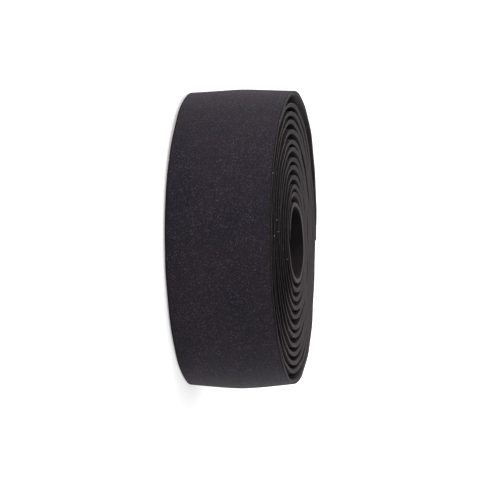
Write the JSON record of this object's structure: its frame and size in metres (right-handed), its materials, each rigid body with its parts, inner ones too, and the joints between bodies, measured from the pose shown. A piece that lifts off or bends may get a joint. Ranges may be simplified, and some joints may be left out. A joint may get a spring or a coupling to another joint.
{
  "type": "handlebar tape roll",
  "caption": "Roll of soft black foam tape for drop handlebars, wound up tight around an open centre hole and standing on one end.",
  "frame": {"origin": "under the centre of the roll's box, on the plane of the end that it stands on", "axes": "+Z along the winding axis, up out of the end where the core stands proud; the tape's free outer end is on the +Y side, and its inner end lies on the -Y side of the hole"},
  "size_m": [0.0858, 0.0872, 0.0313],
  "materials": {
    "foam_tape": "matt, finely grained"
  },
  "bodies": {
    "root": {"bar_tape": "foam_tape"}
  },
  "joints": []
}
